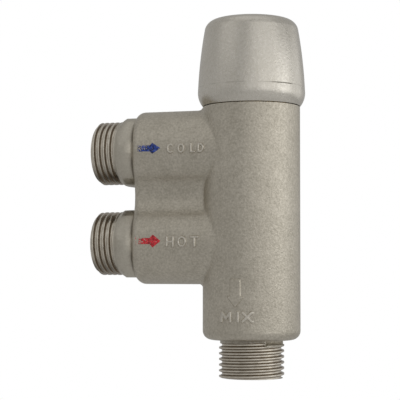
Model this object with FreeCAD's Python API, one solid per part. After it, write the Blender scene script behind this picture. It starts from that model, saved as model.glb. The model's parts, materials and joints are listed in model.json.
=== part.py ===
import FreeCAD, Part
import math
import os

# Thermostatic mixing valve with side inlets, a bottom outlet and a turning control cap.
# Lengths are millimetres. The origin is the centre of the outlet's end face, +Z runs up the barrel,
# the inlets point to -X and the marked front faces -Y.

# Port threads: G 1/2, drawn as plain cylinders at the major diameter
PORT_THREAD_R = 10.4775
PORT_THREAD_CHAMFER = 0.4

# Barrel and outlet nipple
BARREL_R = 15.7
BARREL_FOOT_Z = 12.2
BARREL_FOOT_ROUND = 2.9
BODY_TOP_Z = 87.0
OUTLET_THREAD_LENGTH = 10.7
OUTLET_NECK_R = 10.1
OUTLET_BORE_R = 7.2

# Inlet block: two round bosses joined by a waisted web
INLET_SPACING = 30.0
INLET_MID_Z = 58.2
BOSS_R = 13.4
WAIST_HALF = 7.5
BLOCK_END_R = 42.0
BLOCK_EDGE_ROUND = 2.7
BLOCK_ROOT_FILLET = 1.8
BLANK_SPARE = 7.2

# Cored and machined spaces inside the barrel
MIX_CORE_R = 11.8
MIX_CORE_FLOOR_Z = 16.6
MIX_CORE_TOP_Z = 35.2
SEAT_PORT_R = 8.2
HOT_SEAT_FLOOR_Z = 38.2
HOT_SEAT_THICKNESS = 2.2
HOT_SEAT_R = 10.0
HOT_CHAMBER_R = 12.2
HOT_CHAMBER_TOP_Z = 50.6
COLD_CHAMBER_R = 12.6
COLD_CHAMBER_FLOOR_Z = 65.6
BONNET_THREAD_R = 12.9
BONNET_THREAD_LENGTH = 5.6

# Clearances
RUNNING_CLEARANCE = 0.05
FIT_CLEARANCE = 0.05
SCREW_CLEARANCE = 0.05

# Inlet union, placed by the seat of its collar
COLLAR_SEAT_REACH = 36.7
SPOT_FACE_DEPTH = 1.7
SPOT_FACE_CLEARANCE = 0.1
COLLAR_LENGTH = 7.3
INLET_THREAD_LENGTH = 8.2
THREAD_RUNOUT_R = 10.3
COLLAR_AF = 22.0
COLLAR_TURNED_R = 11.8
COLLAR_CONE_LENGTH = 2.4
UNION_RELIEF_R = 8.9
UNION_RELIEF_LENGTH = 1.6
UNION_TAIL_R = 10.0
UNION_TAIL_LENGTH = 7.2
UNION_BORE_R = 7.6
UNION_MOUTH_R = 8.4
UNION_MOUTH_DEPTH = 1.2
UNION_LIP_R = 6.2
UNION_LIP_THICKNESS = 1.4
UNION_SEAL_R = 10.9
UNION_SEAL_THICKNESS = 1.4
COLLAR_CLOCKING_DEG = {"cold": 3.0, "hot": -3.7}

# Filter basket
BASKET_FLANGE_THICKNESS = 0.8
BASKET_R = 6.8
BASKET_WALL = 0.4
BASKET_DEPTH = 7.0
BASKET_SLOTS = 8
BASKET_SLOT_WIDTH = 2.2
BASKET_SLOT_MARGIN = 1.2

# Check valve cartridge
CARTRIDGE_WALL = 1.3
CARTRIDGE_SEAT_R = 4.3
CARTRIDGE_SEAT_THICKNESS = 1.2
CARTRIDGE_RING_SECTION = 0.9
CARTRIDGE_RING_WIDTH = 1.5
CARTRIDGE_RING_SETBACK = 1.4
POPPET_R = 5.1
POPPET_THICKNESS = 1.1
POPPET_TRAVEL = 2.2
STEM_R = 1.1
POPPET_SEAT_GAP = 0.1
POPPET_NOSE_R = 2.15
POPPET_NOSE_CLEARANCE = 0.3
GUIDE_THICKNESS = 1.6
GUIDE_HUB_R = 2.1
GUIDE_HUB_LENGTH = 2.8
GUIDE_ARMS = 3
GUIDE_ARM_WIDTH = 1.2
GUIDE_RING_WIDTH = 1.0
CHECK_SPRING_R = 2.9
CHECK_SPRING_WIRE = 0.45
CHECK_SPRING_TURNS = 3
CHECK_SPRING_SHUT_LENGTH = 6.2

# Bonnet, screwed into the top of the barrel
BONNET_FLANGE_R = 13.5
BONNET_FLANGE_THICKNESS = 1.5
BONNET_HEX_AF = 22.0
BONNET_HEX_HEIGHT = 5.5
BONNET_NECK_R = 6.6
BONNET_TOP_Z = 98.2
BONNET_SHOULDER_Z = 90.2
BONNET_SKIRT_R = 10.7
COLD_SEAT_Z = 71.0
BONNET_RING_SECTION = 1.3
BONNET_RING_WIDTH = 1.8
NUT_WAY_AF = 15.2

# Spindle
SPINDLE_R = 4.0
SPINDLE_COLLAR_R = 6.0
SPINDLE_COLLAR_HEIGHT = 1.9
SPINDLE_RING_SECTION = 1.0
SPINDLE_RING_WIDTH = 1.6
SPINDLE_RING_Z = 94.0
CLIP_GROOVE_R = 3.2
CLIP_R = 5.6
CLIP_THICKNESS = 0.8
CLIP_GAP = 0.2
CLIP_MOUTH = 5.2
SQUARE_AF = 5.6
SQUARE_TOP_Z = 107.2

# Thrust nut: hexagonal cup that the spindle's left-hand thread raises and lowers
NUT_THREAD_LENGTH = 5.3
NUT_CUP_R = 6.3
NUT_TRAVEL = 1.0
NUT_SIDE_CLEARANCE = 0.1
NUT_END_CLEARANCE = 0.3
STOP_RING_SECTION = 0.9
STOP_RING_WIDTH = 1.8
STOP_RING_THICKNESS = 0.8
STOP_RING_SETBACK = 0.5

# Overload plunger and spring
PLUNGER_FLANGE_THICKNESS = 1.5
PLUNGER_BOSS_R = 4.2
PLUNGER_FOOT_Z = 71.4
PLUNGER_SOCKET_DEPTH = 0.8
OVERLOAD_TRAVEL = 2.0
OVERLOAD_WIRE = 1.0
OVERLOAD_TURNS = 3

# Wax element
CAPSULE_R = 5.0
CAPSULE_FOOT_Z = 33.0
CAPSULE_FLANGE_R = 8.0
CAPSULE_FLANGE_THICKNESS = 1.6
CAPSULE_NECK_R = 3.6
CAPSULE_NECK_TOP_Z = 66.4
PISTON_R = 1.6
PISTON_LENGTH = 9.6
PISTON_ROOM = 3.0

# Shuttle between the two seats
SHUTTLE_WALL = 1.2
SEAT_GAP = 0.6
SHUTTLE_WEB_Z = 56.0
SHUTTLE_WEB_THICKNESS = 2.4
SHUTTLE_WINDOWS = 6
SHUTTLE_WINDOW_R = 1.25
SHUTTLE_WINDOW_MARGIN = 0.1
SHUTTLE_RING_SECTION = 0.9
SHUTTLE_RING_WIDTH = 1.6
SHUTTLE_RING_Z = 58.4
SHUTTLE_CLEARANCE = 0.08

# Return spring
RETURN_WIRE = 1.0
RETURN_TURNS = 4
SPRING_SIDE_CLEARANCE = 0.2

# Control cap
CAP_GAP = 0.3
CAP_RIM_R = 15.8
CAP_FLARE_MID_R = 16.85
CAP_FLARE_MID_HEIGHT = 1.75
CAP_WIDEST_R = 17.33
CAP_WIDEST_HEIGHT = 5.1
CAP_SIDE_MID_R = 16.72
CAP_SIDE_MID_HEIGHT = 13.6
CAP_SHOULDER_R = 15.15
CAP_SHOULDER_HEIGHT = 25.0
CAP_CROWN_MID_R = 13.75
CAP_CROWN_MID_DROP = 0.75
CAP_CROWN_R = 10.5
CAP_HEIGHT = 28.0
CAP_WALL = 1.7
CAP_TOP_WALL = 3.6
CAP_HUB_R = 6.4
CAP_HUB_FOOT_Z = 100.0
CAP_RECESS_R = 4.3
CAP_RECESS_DEPTH = 4.6
SCREW_R = 2.0
SCREW_HEAD_R = 3.5
SCREW_HEAD_HEIGHT = 2.8
SCREW_SOCKET_AF = 2.5
SCREW_SOCKET_DEPTH = 1.6
SCREW_LENGTH = 9.0
SCREW_HOLE_SPARE = 1.0

FULL_TURN = 360.0
OVERCUT = 1.0
EDGE_TOLERANCE = 0.01
X_AXIS = FreeCAD.Vector(1, 0, 0)
Z_AXIS = FreeCAD.Vector(0, 0, 1)
ORIGIN = FreeCAD.Vector(0, 0, 0)

COLD_Z = INLET_MID_Z + INLET_SPACING / 2
HOT_Z = INLET_MID_Z - INLET_SPACING / 2
BLOCK_REACH = COLLAR_SEAT_REACH + SPOT_FACE_DEPTH
UNION_REACH = COLLAR_SEAT_REACH + COLLAR_LENGTH + INLET_THREAD_LENGTH


def vec(x, y, z):
    return FreeCAD.Vector(x, y, z)


def cylinder_z(radius, low, high, x=0.0, y=0.0):
    return Part.makeCylinder(radius, high - low, vec(x, y, low), Z_AXIS)


def cylinder_x(radius, low, high):
    return Part.makeCylinder(radius, high - low, vec(low, 0, 0), X_AXIS)


def tube_z(outer, inner, low, high):
    return cylinder_z(outer, low, high).cut(cylinder_z(inner, low, high))


def tube_x(outer, inner, low, high):
    return cylinder_x(outer, low, high).cut(cylinder_x(inner, low, high))


def turned_z(profile):
    """Revolve a closed (radius, z) outline about the Z axis."""
    points = [vec(r, 0, z) for r, z in profile]
    face = Part.Face(Part.makePolygon(points + points[:1]))
    return face.revolve(ORIGIN, Z_AXIS, FULL_TURN)


def turned_x(profile):
    """Revolve a closed (x, radius) outline about the X axis."""
    points = [vec(x, 0, r) for x, r in profile]
    face = Part.Face(Part.makePolygon(points + points[:1]))
    return face.revolve(ORIGIN, X_AXIS, FULL_TURN)


def polygon_face(sides, across_flats, clocking_deg=0.0):
    """A regular polygon about the origin in the XY plane."""
    corner_r = across_flats / 2 / math.cos(math.pi / sides)
    points = []
    for i in range(sides + 1):
        angle = math.radians(clocking_deg) + 2 * math.pi * i / sides
        points.append(vec(corner_r * math.cos(angle), corner_r * math.sin(angle), 0))
    return Part.Face(Part.makePolygon(points))


def prism_z(sides, across_flats, low, high, clocking_deg=0.0):
    face = polygon_face(sides, across_flats, clocking_deg)
    face.translate(vec(0, 0, low))
    return face.extrude(vec(0, 0, high - low))


def prism_x(sides, across_flats, low, high, clocking_deg=0.0):
    """A prism along X; its first corner points to -Y and turns up with the clocking."""
    prism = prism_z(sides, across_flats, low, high)
    prism.rotate(ORIGIN, vec(0, 1, 0), 90)
    prism.rotate(ORIGIN, X_AXIS, 90 - clocking_deg)
    return prism


def coil_z(mean_r, wire, low, high, turns):
    """A square-wire compression spring whose end coils lie inside low and high."""
    rise = high - low - wire
    helix = Part.makeHelix(rise / turns, rise, mean_r)
    helix.translate(vec(0, 0, low + wire / 2))
    half = wire / 2
    start = low + wire / 2
    corners = [
        vec(mean_r - half, 0, start - half),
        vec(mean_r + half, 0, start - half),
        vec(mean_r + half, 0, start + half),
        vec(mean_r - half, 0, start + half),
    ]
    section = Part.makePolygon(corners + corners[:1])
    return Part.Wire(helix.Edges).makePipeShell([section], True, True)


def along_x(shape, low):
    """Turn a shape built up +Z so that it runs along +X from low."""
    shape.rotate(ORIGIN, vec(0, 1, 0), 90)
    shape.translate(vec(low, 0, 0))
    return shape


def middle_of(edge):
    return edge.valueAt((edge.FirstParameter + edge.LastParameter) / 2)


def raised(shape, z):
    moved = shape.copy()
    moved.translate(vec(0, 0, z))
    return moved


# ---------------------------------------------------------------- valve body

def block_outline():
    """The waisted end outline of the inlet block, in the YZ plane at x = 0."""
    half = INLET_SPACING / 2
    waist_r = (WAIST_HALF ** 2 + half ** 2 - BOSS_R ** 2) / (2 * (BOSS_R - WAIST_HALF))
    hollow_y = WAIST_HALF + waist_r
    reach = BOSS_R / (BOSS_R + waist_r)
    tangent_y = hollow_y * reach
    tangent_z = half * (1 - reach)

    def at(y, z):
        return vec(0, y, INLET_MID_Z + z)

    edges = [
        Part.Arc(at(tangent_y, tangent_z), at(0, half + BOSS_R), at(-tangent_y, tangent_z)),
        Part.Arc(at(-tangent_y, tangent_z), at(-WAIST_HALF, 0), at(-tangent_y, -tangent_z)),
        Part.Arc(at(-tangent_y, -tangent_z), at(0, -half - BOSS_R), at(tangent_y, -tangent_z)),
        Part.Arc(at(tangent_y, -tangent_z), at(WAIST_HALF, 0), at(tangent_y, tangent_z)),
    ]
    return Part.Wire([edge.toShape() for edge in edges])


def inlet_block():
    block = Part.Face(block_outline()).extrude(vec(-BLOCK_REACH - OVERCUT, 0, 0))
    end_axis_x = BLOCK_END_R - BLOCK_REACH
    low = HOT_Z - BOSS_R - OVERCUT
    high = COLD_Z + BOSS_R + OVERCUT
    block = block.common(cylinder_z(BLOCK_END_R, low, high, end_axis_x))
    crown = []
    for edge in block.Edges:
        middle = middle_of(edge)
        on_end = math.hypot(middle.x - end_axis_x, middle.y) > BLOCK_END_R - EDGE_TOLERANCE
        if on_end and middle.x < 0:
            crown.append(edge)
    return block.makeFillet(BLOCK_EDGE_ROUND, crown)


def body_outside():
    blank_top = BODY_TOP_Z + BLANK_SPARE
    barrel = cylinder_z(BARREL_R, BARREL_FOOT_Z, blank_top)
    foot = [edge for edge in barrel.Edges if edge.BoundBox.ZMax < BARREL_FOOT_Z + EDGE_TOLERANCE]
    barrel = barrel.makeFillet(BARREL_FOOT_ROUND, foot)
    outside = barrel.fuse(inlet_block())
    near = BARREL_R + EDGE_TOLERANCE
    root = []
    for edge in outside.Edges:
        box = edge.BoundBox
        middle = middle_of(edge)
        on_barrel = abs(math.hypot(middle.x, middle.y) - BARREL_R) < EDGE_TOLERANCE
        if on_barrel and box.XMax < 0 and box.XMin > -near and box.YLength > EDGE_TOLERANCE:
            if box.ZMin > BARREL_FOOT_Z + BARREL_FOOT_ROUND and box.ZMax < blank_top - EDGE_TOLERANCE:
                root.append(edge)
    outside = outside.makeFillet(BLOCK_ROOT_FILLET, root)
    outside = outside.cut(cylinder_z(UNION_REACH, BODY_TOP_Z, blank_top + OVERCUT))
    nipple = turned_z([
        (0, 0),
        (PORT_THREAD_R - PORT_THREAD_CHAMFER, 0),
        (PORT_THREAD_R, PORT_THREAD_CHAMFER),
        (PORT_THREAD_R, OUTLET_THREAD_LENGTH),
        (OUTLET_NECK_R, OUTLET_THREAD_LENGTH),
        (OUTLET_NECK_R, BARREL_FOOT_Z + OVERCUT),
        (0, BARREL_FOOT_Z + OVERCUT),
    ])
    return outside.fuse(nipple)


def inlet_bore():
    """What one inlet takes out of the block, with its axis on the X axis."""
    spot_r = COLLAR_TURNED_R + SPOT_FACE_CLEARANCE
    tail_r = UNION_TAIL_R + SCREW_CLEARANCE
    tail_end = COLLAR_SEAT_REACH - UNION_TAIL_LENGTH - SCREW_CLEARANCE
    bore = cylinder_x(spot_r, -BLOCK_REACH - OVERCUT, -COLLAR_SEAT_REACH)
    start = -COLLAR_SEAT_REACH - OVERCUT
    bore = bore.fuse(cylinder_x(UNION_SEAL_R + FIT_CLEARANCE, start,
                                -COLLAR_SEAT_REACH + UNION_SEAL_THICKNESS))
    bore = bore.fuse(cylinder_x(tail_r, start, -tail_end))
    return bore.fuse(cylinder_x(UNION_BORE_R, start, -HOT_CHAMBER_R + OVERCUT))


def barrel_space():
    """The cored chambers and machined lands inside the barrel."""
    land_r = HOT_SEAT_R + FIT_CLEARANCE
    seat_top = HOT_SEAT_FLOOR_Z + HOT_SEAT_THICKNESS
    thread_r = BONNET_THREAD_R + SCREW_CLEARANCE
    thread_foot = BODY_TOP_Z - BONNET_THREAD_LENGTH - BONNET_RING_WIDTH
    return turned_z([
        (0, -OVERCUT),
        (OUTLET_BORE_R, -OVERCUT),
        (OUTLET_BORE_R, MIX_CORE_FLOOR_Z),
        (MIX_CORE_R, MIX_CORE_FLOOR_Z),
        (MIX_CORE_R, MIX_CORE_TOP_Z),
        (SEAT_PORT_R, MIX_CORE_TOP_Z),
        (SEAT_PORT_R, HOT_SEAT_FLOOR_Z),
        (land_r, HOT_SEAT_FLOOR_Z),
        (land_r, seat_top),
        (HOT_CHAMBER_R, seat_top),
        (HOT_CHAMBER_R, HOT_CHAMBER_TOP_Z),
        (land_r, HOT_CHAMBER_TOP_Z),
        (land_r, COLD_CHAMBER_FLOOR_Z),
        (COLD_CHAMBER_R, COLD_CHAMBER_FLOOR_Z),
        (COLD_CHAMBER_R, thread_foot),
        (thread_r, thread_foot),
        (thread_r, BODY_TOP_Z + OVERCUT),
        (0, BODY_TOP_Z + OVERCUT),
    ])


def valve_body():
    body = body_outside()
    bore = inlet_bore()
    for z in (COLD_Z, HOT_Z):
        body = body.cut(raised(bore, z))
    return body.cut(barrel_space())


# ------------------------------------------------------------- inlet fittings

MOUTH = -UNION_REACH
UNION_END = -COLLAR_SEAT_REACH + UNION_TAIL_LENGTH
CARTRIDGE_BACK = UNION_END - UNION_LIP_THICKNESS - FIT_CLEARANCE
GUIDE_FRONT = CARTRIDGE_BACK - GUIDE_THICKNESS
POPPET_BACK = GUIDE_FRONT - CHECK_SPRING_SHUT_LENGTH - POPPET_TRAVEL
POPPET_FRONT = POPPET_BACK - POPPET_THICKNESS
CARTRIDGE_SEAT = POPPET_FRONT - POPPET_SEAT_GAP
CARTRIDGE_FRONT = CARTRIDGE_SEAT - CARTRIDGE_SEAT_THICKNESS


def inlet_union(clocking_deg):
    thread_end = MOUTH + INLET_THREAD_LENGTH
    cone_end = thread_end + COLLAR_CONE_LENGTH
    blank = turned_x([
        (MOUTH, 0),
        (MOUTH, PORT_THREAD_R - PORT_THREAD_CHAMFER),
        (MOUTH + PORT_THREAD_CHAMFER, PORT_THREAD_R),
        (thread_end, PORT_THREAD_R),
        (thread_end, THREAD_RUNOUT_R),
        (cone_end, COLLAR_TURNED_R),
        (-COLLAR_SEAT_REACH, COLLAR_TURNED_R),
        (-COLLAR_SEAT_REACH, UNION_RELIEF_R),
        (-COLLAR_SEAT_REACH + UNION_RELIEF_LENGTH, UNION_RELIEF_R),
        (-COLLAR_SEAT_REACH + UNION_RELIEF_LENGTH, UNION_TAIL_R),
        (UNION_END, UNION_TAIL_R),
        (UNION_END, 0),
    ])
    keep = prism_x(6, COLLAR_AF, thread_end, -COLLAR_SEAT_REACH, clocking_deg)
    keep = keep.fuse(cylinder_x(BOSS_R, MOUTH - OVERCUT, thread_end))
    keep = keep.fuse(cylinder_x(BOSS_R, -COLLAR_SEAT_REACH, UNION_END + OVERCUT))
    union = blank.common(keep)
    lip_start = UNION_END - UNION_LIP_THICKNESS
    union = union.cut(cylinder_x(UNION_MOUTH_R, MOUTH - OVERCUT, MOUTH + UNION_MOUTH_DEPTH))
    union = union.cut(cylinder_x(UNION_BORE_R, MOUTH, lip_start))
    return union.cut(cylinder_x(UNION_LIP_R, MOUTH, UNION_END + OVERCUT))


def union_seal():
    return tube_x(UNION_SEAL_R, UNION_RELIEF_R + FIT_CLEARANCE, -COLLAR_SEAT_REACH,
                  -COLLAR_SEAT_REACH + UNION_SEAL_THICKNESS)


def filter_basket():
    flange_start = MOUTH + UNION_MOUTH_DEPTH - BASKET_FLANGE_THICKNESS
    end = MOUTH + UNION_MOUTH_DEPTH + BASKET_DEPTH
    basket = turned_x([
        (flange_start, BASKET_R - BASKET_WALL),
        (flange_start, UNION_MOUTH_R - FIT_CLEARANCE),
        (MOUTH + UNION_MOUTH_DEPTH, UNION_MOUTH_R - FIT_CLEARANCE),
        (MOUTH + UNION_MOUTH_DEPTH, BASKET_R),
        (end, BASKET_R),
        (end, 0),
        (end - BASKET_WALL, 0),
        (end - BASKET_WALL, BASKET_R - BASKET_WALL),
    ])
    slot_start = MOUTH + UNION_MOUTH_DEPTH + BASKET_SLOT_MARGIN
    slot_end = end - BASKET_SLOT_MARGIN
    slot = Part.makeBox(slot_end - slot_start, BASKET_SLOT_WIDTH, 2 * BASKET_R,
                        vec(slot_start, -BASKET_SLOT_WIDTH / 2, 0))
    for i in range(BASKET_SLOTS):
        cutter = slot.copy()
        cutter.rotate(ORIGIN, X_AXIS, FULL_TURN * i / BASKET_SLOTS)
        basket = basket.cut(cutter)
    return basket


def check_housing():
    outer_r = UNION_BORE_R - FIT_CLEARANCE
    inner_r = outer_r - CARTRIDGE_WALL
    ring_start = CARTRIDGE_FRONT + CARTRIDGE_RING_SETBACK
    groove_r = outer_r - CARTRIDGE_RING_SECTION
    return turned_x([
        (CARTRIDGE_FRONT, CARTRIDGE_SEAT_R),
        (CARTRIDGE_FRONT, outer_r),
        (ring_start, outer_r),
        (ring_start, groove_r),
        (ring_start + CARTRIDGE_RING_WIDTH, groove_r),
        (ring_start + CARTRIDGE_RING_WIDTH, outer_r),
        (CARTRIDGE_BACK, outer_r),
        (CARTRIDGE_BACK, inner_r),
        (CARTRIDGE_SEAT, inner_r),
        (CARTRIDGE_SEAT, CARTRIDGE_SEAT_R),
    ])


def check_ring():
    outer_r = UNION_BORE_R - FIT_CLEARANCE / 2
    inner_r = UNION_BORE_R - CARTRIDGE_RING_SECTION - FIT_CLEARANCE / 2
    start = CARTRIDGE_FRONT + CARTRIDGE_RING_SETBACK + FIT_CLEARANCE
    return tube_x(outer_r, inner_r, start, start + CARTRIDGE_RING_WIDTH - 2 * FIT_CLEARANCE)


def check_poppet():
    nose_x = CARTRIDGE_FRONT + CARTRIDGE_SEAT_THICKNESS / 2
    stem_end = CARTRIDGE_BACK + UNION_LIP_THICKNESS
    return turned_x([
        (nose_x, 0),
        (nose_x, POPPET_NOSE_R),
        (POPPET_FRONT, CARTRIDGE_SEAT_R - POPPET_NOSE_CLEARANCE),
        (POPPET_FRONT, POPPET_R),
        (POPPET_BACK, POPPET_R),
        (POPPET_BACK, STEM_R),
        (stem_end, STEM_R),
        (stem_end, 0),
    ])


def check_guide():
    outer_r = UNION_BORE_R - FIT_CLEARANCE - CARTRIDGE_WALL
    bore_r = STEM_R + RUNNING_CLEARANCE
    guide = tube_x(outer_r, outer_r - GUIDE_RING_WIDTH, GUIDE_FRONT, CARTRIDGE_BACK)
    hub_start = CARTRIDGE_BACK - GUIDE_HUB_LENGTH
    guide = guide.fuse(cylinder_x(GUIDE_HUB_R, hub_start, CARTRIDGE_BACK))
    arm = Part.makeBox(GUIDE_THICKNESS, GUIDE_ARM_WIDTH, outer_r - GUIDE_RING_WIDTH / 2,
                       vec(GUIDE_FRONT, -GUIDE_ARM_WIDTH / 2, 0))
    for i in range(GUIDE_ARMS):
        spoke = arm.copy()
        spoke.rotate(ORIGIN, X_AXIS, FULL_TURN * i / GUIDE_ARMS)
        guide = guide.fuse(spoke)
    bore = cylinder_x(bore_r, hub_start - OVERCUT, CARTRIDGE_BACK + OVERCUT)
    return guide.removeSplitter().cut(bore)


def check_spring():
    coil = coil_z(CHECK_SPRING_R, CHECK_SPRING_WIRE, 0, GUIDE_FRONT - POPPET_BACK, CHECK_SPRING_TURNS)
    return along_x(coil, POPPET_BACK)


# --------------------------------------------------- bonnet, spindle and cap

BONNET_THREAD_FOOT_Z = BODY_TOP_Z - BONNET_THREAD_LENGTH


def bonnet():
    flange_top = BODY_TOP_Z + BONNET_FLANGE_THICKNESS
    hex_top = flange_top + BONNET_HEX_HEIGHT
    shell = turned_z([
        (0, COLD_SEAT_Z),
        (BONNET_SKIRT_R, COLD_SEAT_Z),
        (BONNET_SKIRT_R, BONNET_THREAD_FOOT_Z - BONNET_RING_WIDTH - BONNET_RING_SECTION),
        (BONNET_THREAD_R - BONNET_RING_SECTION, BONNET_THREAD_FOOT_Z - BONNET_RING_WIDTH),
        (BONNET_THREAD_R - BONNET_RING_SECTION, BONNET_THREAD_FOOT_Z),
        (BONNET_THREAD_R, BONNET_THREAD_FOOT_Z),
        (BONNET_THREAD_R, BODY_TOP_Z),
        (BONNET_FLANGE_R, BODY_TOP_Z),
        (BONNET_FLANGE_R, flange_top),
        (0, flange_top),
    ])
    shell = shell.fuse(prism_z(6, BONNET_HEX_AF, flange_top, hex_top))
    shell = shell.fuse(cylinder_z(BONNET_NECK_R, hex_top, BONNET_TOP_Z))
    shell = shell.cut(prism_z(6, NUT_WAY_AF, COLD_SEAT_Z - OVERCUT, BONNET_SHOULDER_Z))
    way = cylinder_z(SPINDLE_R + RUNNING_CLEARANCE, COLD_SEAT_Z, BONNET_TOP_Z + OVERCUT)
    return shell.cut(way)


def bonnet_ring():
    inner_r = BONNET_THREAD_R - BONNET_RING_SECTION + FIT_CLEARANCE
    high = BONNET_THREAD_FOOT_Z - FIT_CLEARANCE
    low = BONNET_THREAD_FOOT_Z - BONNET_RING_WIDTH + FIT_CLEARANCE
    return tube_z(BONNET_THREAD_R, inner_r, low, high)


CLIP_FOOT_Z = BONNET_TOP_Z + CLIP_GAP
SPINDLE_COLLAR_TOP_Z = BONNET_SHOULDER_Z - RUNNING_CLEARANCE
SPINDLE_COLLAR_FOOT_Z = SPINDLE_COLLAR_TOP_Z - SPINDLE_COLLAR_HEIGHT
NUT_TOP_Z = SPINDLE_COLLAR_FOOT_Z - NUT_TRAVEL - NUT_END_CLEARANCE
NUT_FOOT_Z = COLD_SEAT_Z + NUT_TRAVEL + NUT_END_CLEARANCE
NUT_CUP_ROOF_Z = NUT_TOP_Z - NUT_THREAD_LENGTH
STOP_RING_LOW_Z = NUT_FOOT_Z + STOP_RING_SETBACK
PLUNGER_FLANGE_Z = STOP_RING_LOW_Z + STOP_RING_THICKNESS + FIT_CLEARANCE
PLUNGER_TOP_Z = PLUNGER_FLANGE_Z + PLUNGER_FLANGE_THICKNESS
SPINDLE_END_Z = PLUNGER_TOP_Z + NUT_TRAVEL + OVERLOAD_TRAVEL + NUT_END_CLEARANCE


def spindle():
    ring_low = SPINDLE_RING_Z - SPINDLE_RING_WIDTH / 2
    ring_high = SPINDLE_RING_Z + SPINDLE_RING_WIDTH / 2
    clip_top = CLIP_FOOT_Z + CLIP_THICKNESS
    shaft = turned_z([
        (0, SPINDLE_END_Z),
        (SPINDLE_R, SPINDLE_END_Z),
        (SPINDLE_R, SPINDLE_COLLAR_FOOT_Z),
        (SPINDLE_COLLAR_R, SPINDLE_COLLAR_FOOT_Z),
        (SPINDLE_COLLAR_R, SPINDLE_COLLAR_TOP_Z),
        (SPINDLE_R, SPINDLE_COLLAR_TOP_Z),
        (SPINDLE_R, ring_low),
        (SPINDLE_R - SPINDLE_RING_SECTION, ring_low),
        (SPINDLE_R - SPINDLE_RING_SECTION, ring_high),
        (SPINDLE_R, ring_high),
        (SPINDLE_R, CLIP_FOOT_Z),
        (CLIP_GROOVE_R, CLIP_FOOT_Z),
        (CLIP_GROOVE_R, clip_top),
        (SPINDLE_R, clip_top),
        (SPINDLE_R, CAP_HUB_FOOT_Z),
        (0, CAP_HUB_FOOT_Z),
    ])
    shaft = shaft.fuse(prism_z(4, SQUARE_AF, CAP_HUB_FOOT_Z, SQUARE_TOP_Z))
    hole = cylinder_z(SCREW_R + SCREW_CLEARANCE, screw_foot_z() - SCREW_HOLE_SPARE,
                      SQUARE_TOP_Z + OVERCUT)
    return shaft.cut(hole)


def spindle_ring():
    low = SPINDLE_RING_Z - SPINDLE_RING_WIDTH / 2 + FIT_CLEARANCE
    high = SPINDLE_RING_Z + SPINDLE_RING_WIDTH / 2 - FIT_CLEARANCE
    return tube_z(SPINDLE_R, SPINDLE_R - SPINDLE_RING_SECTION + FIT_CLEARANCE, low, high)


def spindle_clip():
    """An open clip pushed into the spindle's groove from one side."""
    top = CLIP_FOOT_Z + CLIP_THICKNESS
    clip = tube_z(CLIP_R, CLIP_GROOVE_R + FIT_CLEARANCE, CLIP_FOOT_Z, top)
    mouth = Part.makeBox(2 * CLIP_R, CLIP_MOUTH, CLIP_THICKNESS,
                         vec(0, -CLIP_MOUTH / 2, CLIP_FOOT_Z))
    return clip.cut(mouth)


CAP_FOOT_Z = BODY_TOP_Z + CAP_GAP
CAP_TOP_Z = CAP_FOOT_Z + CAP_HEIGHT


def screw_foot_z():
    return CAP_TOP_Z - CAP_RECESS_DEPTH - SCREW_LENGTH


def control_cap():
    """A die-cast cap: flared foot, slightly bellied side and a rounded crown."""
    def at(r, height):
        return vec(r, 0, CAP_FOOT_Z + height)

    foot = at(CAP_RIM_R, 0)
    widest = at(CAP_WIDEST_R, CAP_WIDEST_HEIGHT)
    shoulder = at(CAP_SHOULDER_R, CAP_SHOULDER_HEIGHT)
    crown = at(CAP_CROWN_R, CAP_HEIGHT)
    crown_mid = at(CAP_CROWN_MID_R, CAP_HEIGHT - CAP_CROWN_MID_DROP)
    inner_r = CAP_RIM_R - CAP_WALL
    inner_top = CAP_HEIGHT - CAP_TOP_WALL
    inner_shoulder_r = CAP_SHOULDER_R - CAP_WALL
    edges = [
        Part.Arc(foot, at(CAP_FLARE_MID_R, CAP_FLARE_MID_HEIGHT), widest).toShape(),
        Part.Arc(widest, at(CAP_SIDE_MID_R, CAP_SIDE_MID_HEIGHT), shoulder).toShape(),
        Part.Arc(shoulder, crown_mid, crown).toShape(),
    ]
    corners = [
        crown,
        at(0, CAP_HEIGHT),
        at(0, inner_top),
        at(inner_shoulder_r, inner_top),
        at(inner_r, CAP_SIDE_MID_HEIGHT),
        at(inner_r, 0),
        foot,
    ]
    for start, end in zip(corners, corners[1:]):
        edges.append(Part.LineSegment(start, end).toShape())
    cap = Part.Face(Part.Wire(edges)).revolve(ORIGIN, Z_AXIS, FULL_TURN)
    cap = cap.fuse(cylinder_z(CAP_HUB_R, CAP_HUB_FOOT_Z, CAP_FOOT_Z + inner_top + OVERCUT))
    recess_floor = CAP_TOP_Z - CAP_RECESS_DEPTH
    cap = cap.cut(cylinder_z(CAP_RECESS_R, recess_floor, CAP_TOP_Z + OVERCUT))
    cap = cap.cut(cylinder_z(SCREW_R + SCREW_CLEARANCE, SQUARE_TOP_Z, CAP_TOP_Z))
    square = prism_z(4, SQUARE_AF + 2 * FIT_CLEARANCE, CAP_HUB_FOOT_Z - OVERCUT,
                     SQUARE_TOP_Z + FIT_CLEARANCE)
    return cap.cut(square)


def cap_screw():
    seat_z = CAP_TOP_Z - CAP_RECESS_DEPTH
    head_top = seat_z + SCREW_HEAD_HEIGHT
    screw = turned_z([
        (0, screw_foot_z()),
        (SCREW_R, screw_foot_z()),
        (SCREW_R, seat_z),
        (SCREW_HEAD_R, seat_z),
        (SCREW_HEAD_R, head_top),
        (0, head_top),
    ])
    socket_floor = head_top - SCREW_SOCKET_DEPTH
    return screw.cut(prism_z(6, SCREW_SOCKET_AF, socket_floor, head_top + OVERCUT))


# -------------------------------------------------------- thermostatic group

PLUNGER_R = NUT_CUP_R - RUNNING_CLEARANCE


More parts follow.
